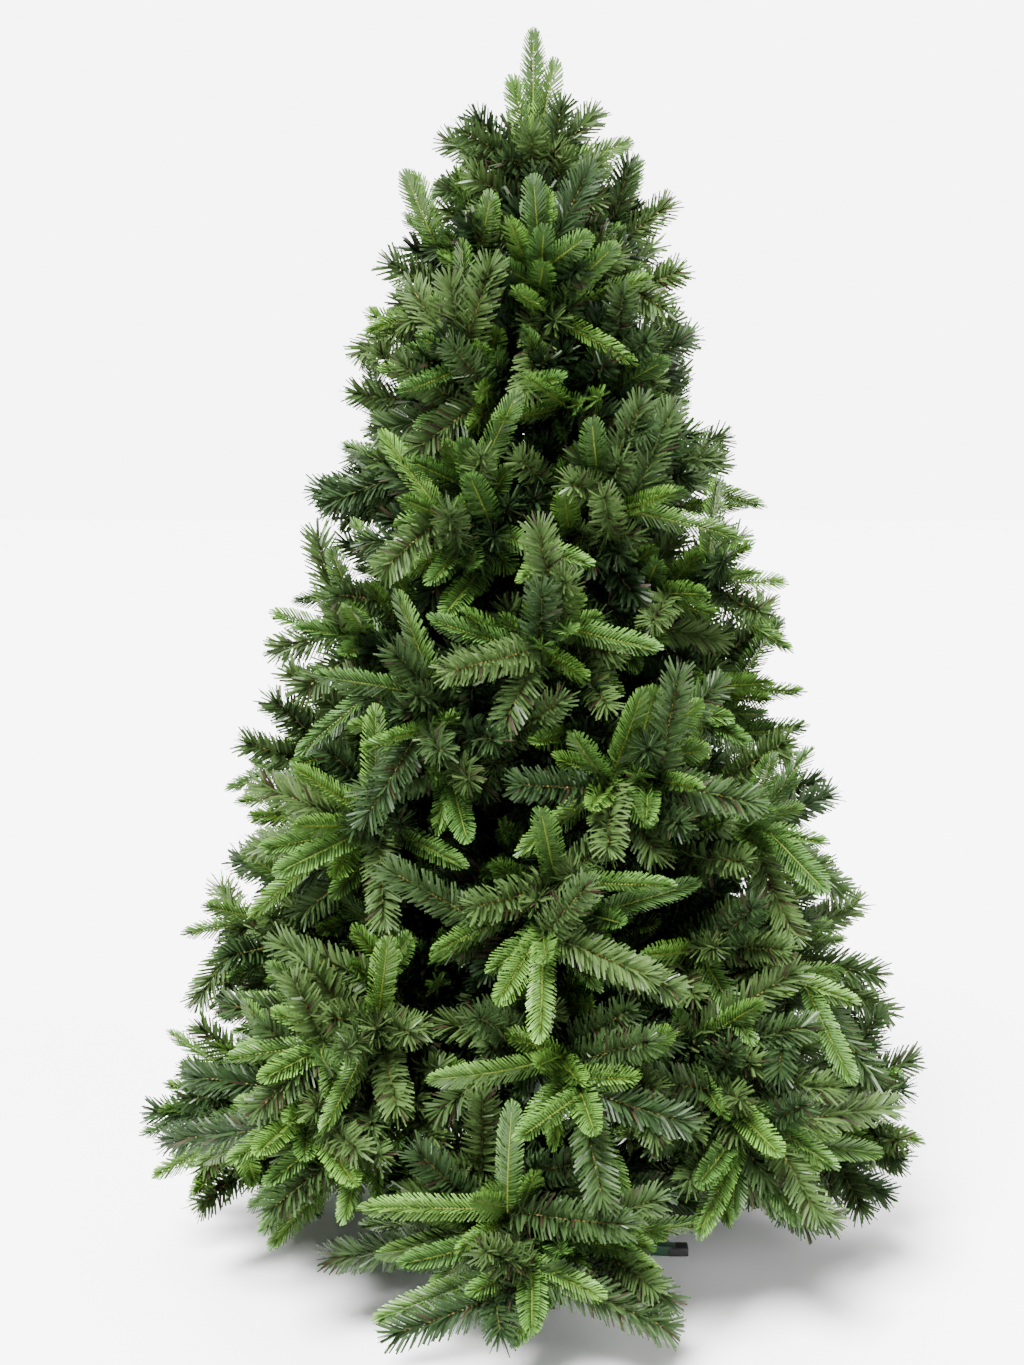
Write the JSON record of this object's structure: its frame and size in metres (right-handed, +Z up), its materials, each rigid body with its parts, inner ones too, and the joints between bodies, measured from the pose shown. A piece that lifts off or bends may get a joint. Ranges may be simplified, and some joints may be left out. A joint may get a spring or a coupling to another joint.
{
  "type": "artificial christmas tree",
  "caption": "Undecorated artificial fir, 1.8 m tall, conical, with mixed moulded and film needle tips on wire branches round a steel pole, standing free on a low four-legged steel stand",
  "frame": {"origin": "on the floor, at the middle of the tree's footprint, under the pole", "axes": "+Z up along the pole, the front of the tree faces -Y, +X to the viewer's right from the front"},
  "size_m": [1.19, 1.19, 1.8],
  "materials": {
    "needles": "soft polyethylene and film needles, two greens mixed",
    "branch_wire": "steel wire wrapped in dark brown film",
    "painted_steel": "dark green paint, satin"
  },
  "bodies": {
    "root": {"pole": "painted_steel", "stand_leg_1": "painted_steel", "stand_leg_2": "painted_steel", "stand_leg_3": "painted_steel", "stand_leg_4": "painted_steel", "stand_socket": "painted_steel", "tier_1_bough_1": "branch_wire", "tier_1_bough_2": "branch_wire", "tier_1_bough_3": "branch_wire", "tier_1_bough_4": "branch_wire", "tier_1_bough_5": "branch_wire", "tier_1_bough_6": "branch_wire", "tier_1_bough_7": "branch_wire", "tier_1_bough_8": "branch_wire", "tier_1_foliage_1": "needles", "tier_1_foliage_2": "needles", "tier_1_foliage_3": "needles", "tier_1_foliage_4": "needles", "tier_1_foliage_5": "needles", "tier_1_foliage_6": "needles", "tier_1_foliage_7": "needles", "tier_1_foliage_8": "needles", "tier_2_foliage_1": "needles", "tier_2_foliage_2": "needles", "tier_2_foliage_3": "needles", "tier_2_foliage_4": "needles", "tier_2_foliage_5": "needles", "tier_2_foliage_6": "needles", "tier_2_foliage_7": "needles", "tier_3_foliage_1": "needles", "tier_3_foliage_2": "needles", "tier_3_foliage_3": "needles", "tier_3_foliage_4": "needles", "tier_3_foliage_5": "needles", "tier_3_foliage_6": "needles", "tier_4_foliage_1": "needles", "tier_4_foliage_2": "needles", "tier_4_foliage_3": "needles", "tier_4_foliage_4": "needles", "tier_4_foliage_5": "needles", "tier_4_foliage_6": "needles", "tier_5_foliage_1": "needles", "tier_5_foliage_2": "needles", "tier_5_foliage_3": "needles", "tier_5_foliage_4": "needles", "tier_5_foliage_5": "needles", "tier_6_foliage_1": "needles", "tier_6_foliage_2": "needles", "tier_6_foliage_3": "needles", "tier_6_foliage_4": "needles", "tier_6_foliage_5": "needles", "tier_7_foliage_1": "needles", "tier_7_foliage_2": "needles", "tier_7_foliage_3": "needles", "tier_7_foliage_4": "needles", "tier_8_foliage_1": "needles", "tier_8_foliage_2": "needles", "tier_8_foliage_3": "needles", "tier_8_foliage_4": "needles", "top_foliage": "needles"}
  },
  "joints": []
}
